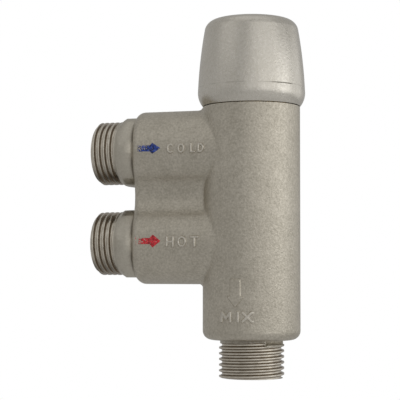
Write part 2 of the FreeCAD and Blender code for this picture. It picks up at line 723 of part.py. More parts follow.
def thrust_nut():
    nut = prism_z(6, NUT_WAY_AF - 2 * NUT_SIDE_CLEARANCE, NUT_FOOT_Z, NUT_TOP_Z)
    nut = nut.cut(cylinder_z(NUT_CUP_R, NUT_FOOT_Z - OVERCUT, NUT_CUP_ROOF_Z))
    nut = nut.cut(cylinder_z(SPINDLE_R + RUNNING_CLEARANCE, NUT_FOOT_Z, NUT_TOP_Z + OVERCUT))
    groove = tube_z(NUT_CUP_R + STOP_RING_SECTION / 2, NUT_CUP_R - OVERCUT, STOP_RING_LOW_Z,
                    STOP_RING_LOW_Z + STOP_RING_THICKNESS)
    return nut.cut(groove)


def plunger_stop():
    """A snap ring in the foot of the thrust nut that keeps the plunger in."""
    outer_r = NUT_CUP_R + STOP_RING_SECTION / 2 - FIT_CLEARANCE
    ring = tube_z(outer_r, outer_r - STOP_RING_WIDTH, STOP_RING_LOW_Z,
                  STOP_RING_LOW_Z + STOP_RING_THICKNESS)
    mouth = Part.makeBox(2 * outer_r, STOP_RING_SECTION, STOP_RING_THICKNESS,
                         vec(0, -STOP_RING_SECTION / 2, STOP_RING_LOW_Z))
    return ring.cut(mouth)


def plunger():
    socket_r = PISTON_R + FIT_CLEARANCE
    return turned_z([
        (socket_r, PLUNGER_FOOT_Z),
        (PLUNGER_BOSS_R, PLUNGER_FOOT_Z),
        (PLUNGER_BOSS_R, PLUNGER_FLANGE_Z),
        (PLUNGER_R, PLUNGER_FLANGE_Z),
        (PLUNGER_R, PLUNGER_TOP_Z),
        (0, PLUNGER_TOP_Z),
        (0, PLUNGER_FOOT_Z + PLUNGER_SOCKET_DEPTH),
        (socket_r, PLUNGER_FOOT_Z + PLUNGER_SOCKET_DEPTH),
    ])


def overload_spring():
    mean_r = NUT_CUP_R - OVERLOAD_WIRE / 2 - SPRING_SIDE_CLEARANCE
    return coil_z(mean_r, OVERLOAD_WIRE, PLUNGER_TOP_Z, NUT_CUP_ROOF_Z, OVERLOAD_TURNS)


PISTON_TOP_Z = PLUNGER_FOOT_Z + PLUNGER_SOCKET_DEPTH
PISTON_FOOT_Z = PISTON_TOP_Z - PISTON_LENGTH


def wax_piston():
    return cylinder_z(PISTON_R, PISTON_FOOT_Z, PISTON_TOP_Z)


def with_windows(piece, low, high):
    """Cut the ring of water ways that runs through the shuttle's web and the capsule's flange."""
    window_at = CAPSULE_R + SHUTTLE_WINDOW_MARGIN + SHUTTLE_WINDOW_R
    for i in range(SHUTTLE_WINDOWS):
        angle = 2 * math.pi * i / SHUTTLE_WINDOWS
        x = window_at * math.cos(angle)
        y = window_at * math.sin(angle)
        piece = piece.cut(cylinder_z(SHUTTLE_WINDOW_R, low, high, x, y))
    return piece


def wax_capsule():
    flange_foot = SHUTTLE_WEB_Z - CAPSULE_FLANGE_THICKNESS
    bore_r = PISTON_R + RUNNING_CLEARANCE
    bore_foot = PISTON_FOOT_Z - PISTON_ROOM
    capsule = turned_z([
        (0, CAPSULE_FOOT_Z),
        (CAPSULE_R, CAPSULE_FOOT_Z),
        (CAPSULE_R, flange_foot),
        (CAPSULE_FLANGE_R, flange_foot),
        (CAPSULE_FLANGE_R, SHUTTLE_WEB_Z),
        (CAPSULE_NECK_R, SHUTTLE_WEB_Z),
        (CAPSULE_NECK_R, CAPSULE_NECK_TOP_Z),
        (bore_r, CAPSULE_NECK_TOP_Z),
        (bore_r, bore_foot),
        (0, bore_foot),
    ])
    return with_windows(capsule, flange_foot, SHUTTLE_WEB_Z)


SHUTTLE_R = HOT_SEAT_R + FIT_CLEARANCE - SHUTTLE_CLEARANCE
SHUTTLE_FOOT_Z = HOT_SEAT_FLOOR_Z + HOT_SEAT_THICKNESS + SEAT_GAP
SHUTTLE_TOP_Z = COLD_SEAT_Z - SEAT_GAP


def shuttle():
    inner_r = SHUTTLE_R - SHUTTLE_WALL
    web_top = SHUTTLE_WEB_Z + SHUTTLE_WEB_THICKNESS
    sleeve = tube_z(SHUTTLE_R, inner_r, SHUTTLE_FOOT_Z, SHUTTLE_TOP_Z)
    hub_r = CAPSULE_NECK_R + FIT_CLEARANCE
    web = tube_z(inner_r + SHUTTLE_WALL / 2, hub_r, SHUTTLE_WEB_Z, web_top)
    body = with_windows(sleeve.fuse(web), SHUTTLE_WEB_Z, web_top)
    groove = tube_z(SHUTTLE_R + OVERCUT, SHUTTLE_R - SHUTTLE_RING_SECTION,
                    SHUTTLE_RING_Z - SHUTTLE_RING_WIDTH / 2, SHUTTLE_RING_Z + SHUTTLE_RING_WIDTH / 2)
    return body.cut(groove)


def shuttle_ring():
    inner_r = SHUTTLE_R - SHUTTLE_RING_SECTION + FIT_CLEARANCE
    outer_r = HOT_SEAT_R
    low = SHUTTLE_RING_Z - SHUTTLE_RING_WIDTH / 2 + FIT_CLEARANCE
    high = SHUTTLE_RING_Z + SHUTTLE_RING_WIDTH / 2 - FIT_CLEARANCE
    return tube_z(outer_r, inner_r, low, high)


def hot_seat():
    return tube_z(HOT_SEAT_R, SEAT_PORT_R, HOT_SEAT_FLOOR_Z, HOT_SEAT_FLOOR_Z + HOT_SEAT_THICKNESS)


def return_spring():
    outer_r = SEAT_PORT_R - SPRING_SIDE_CLEARANCE
    return coil_z(outer_r - RETURN_WIRE / 2, RETURN_WIRE, MIX_CORE_FLOOR_Z,
                  SHUTTLE_WEB_Z - CAPSULE_FLANGE_THICKNESS, RETURN_TURNS)


def build():
    parts = {
        "valve_body": valve_body(),
        "bonnet": bonnet(),
        "bonnet_ring": bonnet_ring(),
        "hot_seat": hot_seat(),
        "return_spring": return_spring(),
        "control_cap": control_cap(),
        "cap_screw": cap_screw(),
        "spindle": spindle(),
        "spindle_ring": spindle_ring(),
        "spindle_clip": spindle_clip(),
        "thrust_nut": thrust_nut(),
        "plunger_stop": plunger_stop(),
        "overload_spring": overload_spring(),
        "plunger": plunger(),
        "wax_piston": wax_piston(),
        "wax_capsule": wax_capsule(),
        "shuttle": shuttle(),
        "shuttle_ring": shuttle_ring(),
    }
    fittings = {
        "union_seal": union_seal(),
        "filter_basket": filter_basket(),
        "check_housing": check_housing(),
        "check_ring": check_ring(),
        "check_poppet": check_poppet(),
        "check_guide": check_guide(),
        "check_spring": check_spring(),
    }
    for port, z in (("cold", COLD_Z), ("hot", HOT_Z)):
        parts[port + "_inlet_union"] = raised(inlet_union(COLLAR_CLOCKING_DEG[port]), z)
        for name, shape in fittings.items():
            parts[port + "_" + name] = raised(shape, z)
    return parts


def main():
    os.makedirs("parts", exist_ok=True)
    for name, shape in build().items():
        if not shape.isValid() or len(shape.Solids) != 1:
            print("check", name, shape.isValid(), len(shape.Solids))
        shape.exportStep("parts/" + name + ".step")


main()
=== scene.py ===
import json
import math
from collections import namedtuple

import bmesh
import bpy
from mathutils import Matrix, Vector
from mathutils.bvhtree import BVHTree

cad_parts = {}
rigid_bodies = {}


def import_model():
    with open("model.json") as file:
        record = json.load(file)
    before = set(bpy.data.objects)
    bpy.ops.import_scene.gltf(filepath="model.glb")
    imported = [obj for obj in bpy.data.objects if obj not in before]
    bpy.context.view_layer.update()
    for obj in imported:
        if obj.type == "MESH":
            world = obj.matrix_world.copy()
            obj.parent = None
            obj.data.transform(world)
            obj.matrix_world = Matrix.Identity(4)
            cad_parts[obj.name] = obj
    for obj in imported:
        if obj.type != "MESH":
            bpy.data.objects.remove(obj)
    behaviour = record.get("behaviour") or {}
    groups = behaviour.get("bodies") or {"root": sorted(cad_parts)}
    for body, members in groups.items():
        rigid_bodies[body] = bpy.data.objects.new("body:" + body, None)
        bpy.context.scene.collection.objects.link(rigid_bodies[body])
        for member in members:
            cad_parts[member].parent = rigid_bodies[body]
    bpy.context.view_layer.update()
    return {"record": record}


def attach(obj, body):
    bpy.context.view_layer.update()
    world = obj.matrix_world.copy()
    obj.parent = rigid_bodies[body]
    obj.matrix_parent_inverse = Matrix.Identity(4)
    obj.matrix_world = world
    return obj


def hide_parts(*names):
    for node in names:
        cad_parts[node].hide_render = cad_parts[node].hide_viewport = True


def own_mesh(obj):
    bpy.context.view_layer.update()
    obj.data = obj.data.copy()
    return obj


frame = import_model()

# Looks of a thermostatic mixing valve: cast body, screwed inlet unions, control cap.
# Lengths are metres, small ones written as millimetres times MM, and angles are degrees.
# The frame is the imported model's own: +Z up the barrel, -X out of the inlets, -Y out of the
# marked front.

MM = 0.001

objects = bpy.data.objects
scene = bpy.context.scene
record = frame["record"]

MOUNTS = {mount["name"]: mount for mount in record["mounts"]}
COLD_Z = MOUNTS["cold_inlet"]["pos_m"][2]
HOT_Z = MOUNTS["hot_inlet"]["pos_m"][2]
BODY_OF = {node: body for body, nodes in record["behaviour"]["bodies"].items() for node in nodes}


# --------------------------------------------------------------- node helpers

def add(tree, kind, inputs, **settings):
    """A new node with its settings made; each input is linked to a socket or set to a value."""
    node = tree.nodes.new(kind)
    for name, value in settings.items():
        setattr(node, name, value)
    for key, value in inputs.items():
        if isinstance(value, bpy.types.NodeSocket):
            tree.links.new(value, node.inputs[key])
        else:
            node.inputs[key].default_value = value
    return node


def shaded_point(tree):
    """The shaded point in the object's own coordinates."""
    return add(tree, "ShaderNodeTexCoord", {}).outputs["Object"]


def parts_of(tree, vector):
    return add(tree, "ShaderNodeSeparateXYZ", {"Vector": vector}).outputs


def noise(tree, scale, detail=2.0, roughness=0.5):
    inputs = {
        "Vector": shaded_point(tree), "Scale": scale, "Detail": detail, "Roughness": roughness,
    }
    return add(tree, "ShaderNodeTexNoise", inputs).outputs["Fac"]


def remap(tree, value, source, target=(0.0, 1.0)):
    """value taken from the range source to the range target, and held inside it."""
    inputs = {
        "Value": value,
        "From Min": source[0], "From Max": source[1],
        "To Min": target[0], "To Max": target[1],
    }
    return add(tree, "ShaderNodeMapRange", inputs).outputs["Result"]


def calculate(tree, operation, first, second=0.0):
    return add(tree, "ShaderNodeMath", {0: first, 1: second}, operation=operation).outputs["Value"]


def mixed_color(tree, share, low, high):
    inputs = {"Factor": share, "A": low, "B": high}
    return add(tree, "ShaderNodeMix", inputs, data_type="RGBA").outputs["Result"]


def mixed_shader(tree, share, low, high):
    return add(tree, "ShaderNodeMixShader", {"Fac": share, 1: low, 2: high}).outputs["Shader"]


def bump(tree, height, distance, below=None):
    inputs = {"Height": height, "Distance": distance, "Strength": 1.0}
    if below is not None:
        inputs["Normal"] = below
    return add(tree, "ShaderNodeBump", inputs).outputs["Normal"]


def material_of(name, surface, **values):
    """A material whose surface is what the function makes in its tree."""
    material = bpy.data.materials.new(name)
    material.use_nodes = True
    tree = material.node_tree
    tree.nodes.clear()
    add(tree, "ShaderNodeOutputMaterial", {"Surface": surface(tree, **values)})
    return material


# ------------------------------------------------------------------ materials

NOISE_RANGE = (0.3, 0.7)            # where most values of a noise lie

MOTTLE_SCALE = 1500.0
BLOTCH_SHARE = 0.35
MOTTLE_RANGE = (0.48, 0.87)         # of the mottle and the blotches' share together
ROUGHNESS_SPREAD = 0.06
PEEL_SCALE = 1300.0
PIT_SCALE = 240.0
PIT_SIZE = 0.09                     # a pit's radius, as a share of 1 / PIT_SCALE


def pits(tree):
    """1 in the middle of sparse round pits, 0 outside them."""
    inputs = {"Vector": shaded_point(tree), "Scale": PIT_SCALE, "Randomness": 1.0}
    distance = add(tree, "ShaderNodeTexVoronoi", inputs).outputs["Distance"]
    return remap(tree, distance, (0.0, PIT_SIZE), (1.0, 0.0))


def satin_metal(tree, dark, light, roughness, grain_scale, grain_height, blotch_scale=160.0,
                peel_height=0.0, pit_depth=0.0, seam_z=None):
    """Mottled satin metal with a fine grain; with orange peel, pits and a seam if asked."""
    blotches = calculate(tree, "MULTIPLY", noise(tree, blotch_scale, 3.0, 0.6), BLOTCH_SHARE)
    mottle = calculate(tree, "ADD", blotches, noise(tree, MOTTLE_SCALE, 2.0, 0.7))
    color = mixed_color(tree, remap(tree, mottle, MOTTLE_RANGE), dark, light)
    if seam_z is not None:
        color = mixed_color(tree, seam(tree, seam_z), color, SEAM_COLOR)
    rough_range = (roughness - ROUGHNESS_SPREAD, roughness + ROUGHNESS_SPREAD)
    normal = bump(tree, noise(tree, grain_scale, 3.0, 0.65), grain_height)
    if peel_height:
        normal = bump(tree, noise(tree, PEEL_SCALE), peel_height, normal)
    if pit_depth:
        normal = bump(tree, pits(tree), -pit_depth, normal)
    return add(tree, "ShaderNodeBsdfPrincipled", {
        "Metallic": 1.0,
        "Base Color": color,
        "Roughness": remap(tree, noise(tree, grain_scale / 3), NOISE_RANGE, rough_range),
        "Normal": normal,
    }).outputs["BSDF"]


# The fine line round the cap: broken and faint, with one dark dash at its front right.
CAP_SEAM_Z = 93.15 * MM
SEAM_COLOR = (0.10, 0.09, 0.07, 1.0)
SEAM_HALF = 0.22 * MM
SEAM_CORE = 0.3 * SEAM_HALF
SEAM_BREAK_SCALE = 130.0
SEAM_BREAKS = (0.42, 0.62)
SEAM_FAINT = 0.4
DASH_START_X = (9.0 * MM, 12.0 * MM)
DASH_END_X = (15.2 * MM, 15.6 * MM)
DASH_FRONT_Y = (0.0, -3.0 * MM)
PAST_DASH = 0.15


def seam(tree, height):
    """1 along the seam at its darkest, 0 away from it."""
    x, y, z = parts_of(tree, shaded_point(tree))
    away = calculate(tree, "ABSOLUTE", calculate(tree, "SUBTRACT", z, height))
    line = remap(tree, away, (SEAM_HALF, SEAM_CORE))
    broken = remap(tree, noise(tree, SEAM_BREAK_SCALE), SEAM_BREAKS)
    faint = calculate(tree, "MULTIPLY", broken, SEAM_FAINT)
    dash = calculate(tree, "MULTIPLY", remap(tree, x, DASH_START_X), remap(tree, y, DASH_FRONT_Y))
    strength = calculate(tree, "MAXIMUM", faint, dash)
    past_dash = remap(tree, x, DASH_END_X, (1.0, PAST_DASH))
    return calculate(tree, "MULTIPLY", line, calculate(tree, "MULTIPLY", strength, past_dash))


THREAD_DARK = (0.54, 0.49, 0.41, 1.0)
THREAD_LIGHT = (0.68, 0.63, 0.54, 1.0)
# painted dark reflection on the flanks: this tone darkens the faces that lean along the thread's axis
THREAD_PAINTED_FLANK_REFLECTION = (0.36, 0.31, 0.25, 1.0)
# painted dark reflection on the underside: this tone darkens the faces that point down
THREAD_PAINTED_UNDERSIDE_REFLECTION = (0.2, 0.18, 0.15, 1.0)
THREAD_ROUGHNESS = 0.27
SPECKLE_SCALE = 500.0
SPECKLE_RANGE = (0.35, 0.65)
TOOL_MARK_SCALE = 900.0
TOOL_MARK_HEIGHT = 0.004 * MM
# the next values bound the painted dark reflection on the underside
PAINTED_UNDERSIDE_LEAN = (-0.35, -0.8)          # the normal's z where the dark below starts and is full


def turned_thread(tree, axis, dull_lean, dark_below=False):
    """Turned metal with painted dark reflections: darker where its normal leans along the axis, and
    darker on its underside if asked.

    These tones follow the direction a face points, and stand for what the real metal mirrors.
    """
    normal = parts_of(tree, add(tree, "ShaderNodeNewGeometry", {}).outputs["Normal"])
    speckle = remap(tree, noise(tree, SPECKLE_SCALE, 3.0, 0.6), SPECKLE_RANGE)
    bright = mixed_color(tree, speckle, THREAD_DARK, THREAD_LIGHT)
    lean = calculate(tree, "ABSOLUTE", normal[axis])
    # painted dark reflection: darker where the face leans along the axis
    color = mixed_color(tree, remap(tree, lean, dull_lean), bright, THREAD_PAINTED_FLANK_REFLECTION)
    if dark_below:
        # painted dark reflection: darker where the face points down
        color = mixed_color(tree, remap(tree, normal["Z"], PAINTED_UNDERSIDE_LEAN), color, THREAD_PAINTED_UNDERSIDE_REFLECTION)
    return add(tree, "ShaderNodeBsdfPrincipled", {
        "Metallic": 1.0,
        "Base Color": color,
        "Roughness": THREAD_ROUGHNESS,
        "Normal": bump(tree, noise(tree, TOOL_MARK_SCALE), TOOL_MARK_HEIGHT),
    }).outputs["BSDF"]


MOULDED_SHADE = 0.88
MOULDED_ROUGHNESS_SPREAD = 0.05


def moulded(tree, color, roughness, grain_scale, grain_height, specular=0.5):
    """A moulded plastic or rubber with a fine grain."""
    grain = noise(tree, grain_scale, 3.0)
    dark = tuple(MOULDED_SHADE * part for part in color) + (1.0,)
    rough_range = (roughness - MOULDED_ROUGHNESS_SPREAD, roughness + MOULDED_ROUGHNESS_SPREAD)
    return add(tree, "ShaderNodeBsdfPrincipled", {
        "Specular IOR Level": specular,
        "Base Color": mixed_color(tree, remap(tree, grain, NOISE_RANGE), dark, color + (1.0,)),
        "Roughness": remap(tree, grain, NOISE_RANGE, rough_range),
        "Normal": bump(tree, grain, grain_height),
    }).outputs["BSDF"]


CAST = {
    "dark": (0.43, 0.395, 0.325, 1.0), "light": (0.60, 0.555, 0.47, 1.0),
    "roughness": 0.42, "grain_scale": 2600.0,
}
PAINT_ROUGHNESS = 0.35
FLECK_SCALE = 1300.0
FLECK_RANGE = (0.38, 0.6)
BRUSH_SCALE = 1800.0
BRUSH_HEIGHT = 0.04 * MM
WEAR_SCALE = 1900.0
WEAR_EDGE = (0.56, 0.6)
TAIL_WEAR = (0.1, -0.07)            # added to the wear at the first and second place of worn_x


def worn_paint(tree, dark, light, worn_x):
    """Paint flecked with bare cast metal, worst at the first of the two places worn_x."""
    bare = satin_metal(tree, **CAST, grain_height=0.03 * MM)
    flecks = remap(tree, noise(tree, FLECK_SCALE, 2.0, 0.6), FLECK_RANGE)
    paint = add(tree, "ShaderNodeBsdfPrincipled", {
        "Base Color": mixed_color(tree, flecks, dark, light),
        "Roughness": PAINT_ROUGHNESS,
        "Normal": bump(tree, noise(tree, BRUSH_SCALE), BRUSH_HEIGHT),
    }).outputs["BSDF"]
    tail_wear = remap(tree, parts_of(tree, shaded_point(tree))["X"], worn_x, TAIL_WEAR)
    wear = calculate(tree, "ADD", noise(tree, WEAR_SCALE, 2.0, 0.7), tail_wear)
    return mixed_shader(tree, remap(tree, wear, WEAR_EDGE), paint, bare)


cast_nickel = material_of("cast_nickel_look", satin_metal, **CAST, grain_height=0.04 * MM,
                          peel_height=0.09 * MM, pit_depth=0.1 * MM)
# The letters' lighter nickel is a painted highlight: the raised letters are lighter all over.
painted_highlight_nickel = material_of(
    "painted_highlight_nickel_look", satin_metal, dark=(0.54, 0.50, 0.43, 1.0), light=(0.68, 0.64, 0.56, 1.0),
    roughness=0.36, grain_scale=2600.0, grain_height=0.03 * MM)
collar_nickel = material_of(
    "collar_nickel_look", satin_metal, dark=(0.47, 0.435, 0.365, 1.0), light=(0.55, 0.515, 0.44, 1.0),
    roughness=0.44, grain_scale=2200.0, grain_height=0.02 * MM)
cap_nickel = material_of(
    "cap_nickel_look", satin_metal, dark=(0.58, 0.545, 0.475, 1.0), light=(0.665, 0.63, 0.565, 1.0),
    roughness=0.31, grain_scale=3000.0, grain_height=0.02 * MM, blotch_scale=110.0,
    peel_height=0.05 * MM, seam_z=CAP_SEAM_Z)
# the upright thread has painted dark reflections on its flanks
upright_thread = material_of("upright_thread_look", turned_thread, axis="Z", dull_lean=(0.3, 0.8))
# the inlet threads have painted dark reflections on their flanks and on their undersides
inlet_thread = material_of("cold_thread_look", turned_thread, axis="X", dull_lean=(0.6, 0.95),
                           dark_below=True)
brass = material_of(
    "brass_look", satin_metal, dark=(0.66, 0.48, 0.22, 1.0), light=(0.76, 0.58, 0.30, 1.0),
    roughness=0.3, grain_scale=1500.0, grain_height=0.01 * MM)
copper = material_of(
    "copper_look", satin_metal, dark=(0.66, 0.34, 0.20, 1.0), light=(0.76, 0.42, 0.27, 1.0),
    roughness=0.3, grain_scale=1500.0, grain_height=0.01 * MM)
steel = material_of(
    "steel_look", satin_metal, dark=(0.56, 0.56, 0.55, 1.0), light=(0.66, 0.66, 0.65, 1.0),
    roughness=0.3, grain_scale=2500.0, grain_height=0.01 * MM)
rubber = material_of("rubber_look", moulded, color=(0.03, 0.03, 0.03), roughness=0.7,
                     grain_scale=1500.0, grain_height=0.02 * MM, specular=0.3)
plastic = material_of("plastic_look", moulded, color=(0.8, 0.8, 0.78), roughness=0.45,
                      grain_scale=900.0, grain_height=0.01 * MM)
blue = material_of("blue_paint_look", worn_paint, dark=(0.002, 0.007, 0.06, 1.0),
                   light=(0.025, 0.075, 0.40, 1.0), worn_x=(-34.4 * MM, -29.6 * MM))
red = material_of("red_paint_look", worn_paint, dark=(0.30, 0.006, 0.014, 1.0),
                  light=(0.78, 0.03, 0.045, 1.0), worn_x=(-34.4 * MM, -30.4 * MM))

LOOK_OF_SLOT = {
    "cast_nickel": cast_nickel,
    "cap_nickel": cap_nickel,
    "turned_nickel": collar_nickel,
    "bare_brass": brass,
    "copper": copper,
    "stainless": steel,
    "black_rubber": rubber,
    "white_plastic": plastic,
}


def dress_nodes():
    for row in record["subparts"]:
        for holder in objects[row["node"]].material_slots:
            holder.material = LOOK_OF_SLOT[row["material_slot"]]


# -------------------------------------------------------------------- threads

# G 1/2 right-hand threads. They are cut into stand-ins of the plain ports.
PITCH = 1.814 * MM
CREST_R = 10.46 * MM
ROOT_R = 9.5 * MM
CREST_SHARE = 0.24                  # shares of the pitch that are flat
ROOT_SHARE = 0.26
CLEAR_R = 10.6 * MM
CUTTER_R = 11.3 * MM
CUTTER_OVERRUN = 0.6 * MM
CUTTER_STEPS = 120
CUTTER_ROWS_PER_PITCH = 22
MOUNT_CHAMFER = 0.4 * MM            # from a port's end face to its mount
WELD_DISTANCE = 1e-6
SHARP_ANGLE = math.radians(38)

# end_angle: where round the port's axis the last groove ends. first_crest: how far in from the end
# face a crest is there. turns: the whole turns further in. lead_in: how far the crests fall short
# at the end face. reach: where the grooves have run out, over the length run_out.
Thread = namedtuple("Thread", "end_angle first_crest turns lead_in reach run_out")
THREADS = {
    "outlet": Thread(-49.5, 1.085 * MM, 5, 0.4 * MM, 12.1 * MM, 0.2 * MM),
    "cold_inlet": Thread(0.0, 0.236 * MM, 4, 1.0 * MM, 8.62 * MM, 0.6 * MM),
    "hot_inlet": Thread(0.0, 0.133 * MM, 4, 1.0 * MM, 8.62 * MM, 0.6 * MM),
}


def held(share):
    return min(1.0, max(0.0, share))


def eased(share):
    """0 to 1 with level ends."""
    share = held(share)
    return share * share * (3 - 2 * share)


def thread_radius(thread, turn, along):
    """Radius that the cutter leaves, a share of a turn past the last groove's end."""
    rise = (along - thread.first_crest) / PITCH - turn
    if rise > thread.turns:
        return CLEAR_R
    valley = 2 * abs(rise - round(rise))
    flank = held((valley - CREST_SHARE) / (1 - CREST_SHARE - ROOT_SHARE))
    depth = (CREST_R - ROOT_R) * (flank + eased(flank)) / 2
    fade = held((thread.reach - along) / thread.run_out)
    return min(CREST_R - depth * fade, CREST_R - thread.lead_in + max(0.0, along))


def linked_object(name, mesh, material):
    """An object in the scene made from a bmesh, which is freed."""
    data = bpy.data.meshes.new(name)
    mesh.to_mesh(data)
    mesh.free()
    data.materials.append(material)
    made = objects.new(name, data)
    scene.collection.objects.link(made)
    return made


def thread_cutter(thread, origin, inward, material):
    """A closed ring whose hollow is the thread, to cut away from a plain port."""
    first = Vector((1, 0, 0)) if abs(inward.z) > 0.5 else Vector((0, 1, 0))
    second = inward.cross(first)
    length = thread.reach + CUTTER_OVERRUN
    rows = round(length / PITCH * CUTTER_ROWS_PER_PITCH)
    mesh = bmesh.new()

    def ring_at(along, radius_at):
        ring = []
        for k in range(CUTTER_STEPS):
            turn = (k + 0.5) / CUTTER_STEPS
            angle = math.radians(thread.end_angle) + 2 * math.pi * turn
            spoke = first * math.cos(angle) + second * math.sin(angle)
            ring.append(mesh.verts.new(origin + inward * along + spoke * radius_at(turn, along)))
        return ring

    rings = []
    for i in range(rows + 1):
        along = -CUTTER_OVERRUN + length * i / rows
        rings.append(ring_at(along, lambda turn, along: thread_radius(thread, turn, along)))
    for along in (thread.reach, -CUTTER_OVERRUN):
        rings.append(ring_at(along, lambda turn, along: CUTTER_R))
    for ring, above in zip(rings, rings[1:] + rings[:1]):
        for k in range(CUTTER_STEPS):
            after = (k + 1) % CUTTER_STEPS
            mesh.faces.new((ring[k], ring[after], above[after], above[k]))
    bmesh.ops.recalc_face_normals(mesh, faces=mesh.faces)
    return linked_object("thread_cutter", mesh, material)


def welded_copy(node, name, material):
    """A copy of a CAD node in one look, with the corners that meet made one."""
    mesh = bmesh.new()
    mesh.from_mesh(node.data)
    bmesh.ops.remove_doubles(mesh, verts=mesh.verts, dist=WELD_DISTANCE)
    return linked_object(name, mesh, material)


def cut_away(piece, tool):
    """Take tool's form out of piece; the cut faces keep tool's material."""
    modifier = piece.modifiers.new("thread", "BOOLEAN")
    modifier.operation = "DIFFERENCE"
    modifier.solver = "EXACT"
    modifier.material_mode = "TRANSFER"
    modifier.object = tool
    graph = bpy.context.evaluated_depsgraph_get()
    cut = bpy.data.meshes.new_from_object(piece.evaluated_get(graph), depsgraph=graph)
    piece.modifiers.clear()
    piece.data = cut
    objects.remove(tool)


def shade_smooth(piece):
    piece.data.polygons.foreach_set("use_smooth", [True] * len(piece.data.polygons))
    piece.data.set_sharp_from_angle(angle=SHARP_ANGLE)


def threaded(node_name, name, port, material, thread_look):
    """Stand in for a CAD node with a copy whose port has its thread."""
    piece = welded_copy(objects[node_name], name, material)
    outward = Vector(MOUNTS[port]["axis"])
    origin = Vector(MOUNTS[port]["pos_m"]) + outward * MOUNT_CHAMFER
    cut_away(piece, thread_cutter(THREADS[port], origin, -outward, thread_look))
    shade_smooth(piece)
    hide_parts(node_name)
    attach(piece, "root")
    return piece


# -------------------------------------------------------------------- springs

def shortening_spring(row):
    """Stand in for a spring with a copy of it, fixed to the spring's body."""
    letter = row["mode"][-1]
    index = "xyz".index(letter)
    axis = Vector((0, 0, 0))
    axis[index] = 1
    node = objects[row["node"]]
    coil = objects.new(row["node"] + "_coil", node.data.copy())
    coil.matrix_world = node.matrix_world.copy()
    scene.collection.objects.link(coil)
    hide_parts(row["node"])
    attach(coil, BODY_OF[row["node"]])
    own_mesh(coil)


def shortening_springs():
    for joint in record["behaviour"]["joints"]:
        for row in joint.get("deforming_nodes", []):
            shortening_spring(row)


# --------------------------------------------------------- raised cast marks

PROBE_Y = -0.1                      # in front of the body
SUNK = 0.12 * MM                    # how deep a mark's edge dips under the body's skin
MARK_STEP = 0.1 * MM

ARC_STEPS = 20

STROKE_HALF = 0.12 * MM
FAT_STROKE_HALF = 0.2 * MM
STROKE_EDGE = 0.55 * MM
STROKE_HEIGHT = 0.5 * MM

PAINTED_EDGE = 0.3 * MM
PAINTED_HEIGHT = 0.25 * MM


def arc(center_x, center_y, radius_x, radius_y, start, end):
    points = []
    for i in range(ARC_STEPS + 1):
        angle = math.radians(start + (end - start) * i / ARC_STEPS)
        points.append((center_x + radius_x * math.cos(angle), center_y + radius_y * math.sin(angle)))
    return points


# Each letter's strokes in a box of width and height 1.
LETTERS = {
    "C": [arc(0.55, 0.5, 0.5, 0.5, 55, 305)],
    "O": [arc(0.5, 0.5, 0.5, 0.5, 0, 360)],
    "L": [[(0.1, 1), (0.1, 0), (0.95, 0)]],
    "D": [[(0.1, 0), (0.1, 1)] + arc(0.35, 0.5, 0.6, 0.5, 90, -90) + [(0.1, 0)]],
    "H": [[(0.05, 0), (0.05, 1)], [(0.95, 0), (0.95, 1)], [(0.05, 0.5), (0.95, 0.5)]],
    "T": [[(0, 1), (1, 1)], [(0.5, 1), (0.5, 0)]],
    "M": [[(0, 0), (0.05, 1), (0.5, 0.3), (0.95, 1), (1, 0)]],
    "I": [[(0.5, 0), (0.5, 1)]],
    "X": [[(0, 0), (1, 1)], [(0, 1), (1, 0)]],
}

# Each word's letters with the places of their left sides and their widths, in millimetres.
COLD = [("C", -24.15, 1.8), ("O", -20.5, 1.8), ("L", -16.4, 1.3), ("D", -13.95, 1.8)]
HOT = [("H", -24.4, 2.3), ("O", -20.4, 2.3), ("T", -16.3, 2.4)]
MIX = [("M", -5.65, 3.1), ("I", -0.6, 1.0), ("X", 1.5, 2.8)]


def word_strokes(word, foot, height):
    strokes = []
    for letter, left, width in word:
        for stroke in LETTERS[letter]:
            strokes.append([(left * MM + width * MM * u, foot + height * v) for u, v in stroke])
    return strokes


def arrow(tail, neck, barb, tip, shaft_half, head_half, upright=False, du=0.0, dv=0.0):
    """An arrow's closed outline from millimetres; upright turns it to point along v."""
    corners = [
        (tail, -shaft_half), (neck, -shaft_half), (barb, -head_half), (tip, 0),
        (barb, head_half), (neck, shaft_half), (tail, shaft_half), (tail, -shaft_half),
    ]
    if upright:
        corners = [(v, u) for u, v in corners]
    return [(u * MM + du, v * MM + dv) for u, v in corners]


def distance_to(strokes, u, v):
    best = math.inf
    for stroke in strokes:
        for (start_u, start_v), (end_u, end_v) in zip(stroke, stroke[1:]):
            du, dv = end_u - start_u, end_v - start_v
            along = held(((u - start_u) * du + (v - start_v) * dv) / (du * du + dv * dv))
            best = min(best, math.hypot(u - start_u - along * du, v - start_v - along * dv))
    return best


def inside(outline, u, v):
    hit = False
    for (start_u, start_v), (end_u, end_v) in zip(outline, outline[1:]):
        if (start_v > v) != (end_v > v):
            if u < start_u + (v - start_v) / (end_v - start_v) * (end_u - start_u):
                hit = not hit
    return hit


def skin_of(piece):
    """The function that gives the y of the piece's front at x and z."""
    tree = BVHTree.FromPolygons([vertex.co for vertex in piece.data.vertices],
                                [face.vertices for face in piece.data.polygons])
    return lambda x, z: tree.ray_cast(Vector((x, PROBE_Y, z)), Vector((0, 1, 0)))[0].y


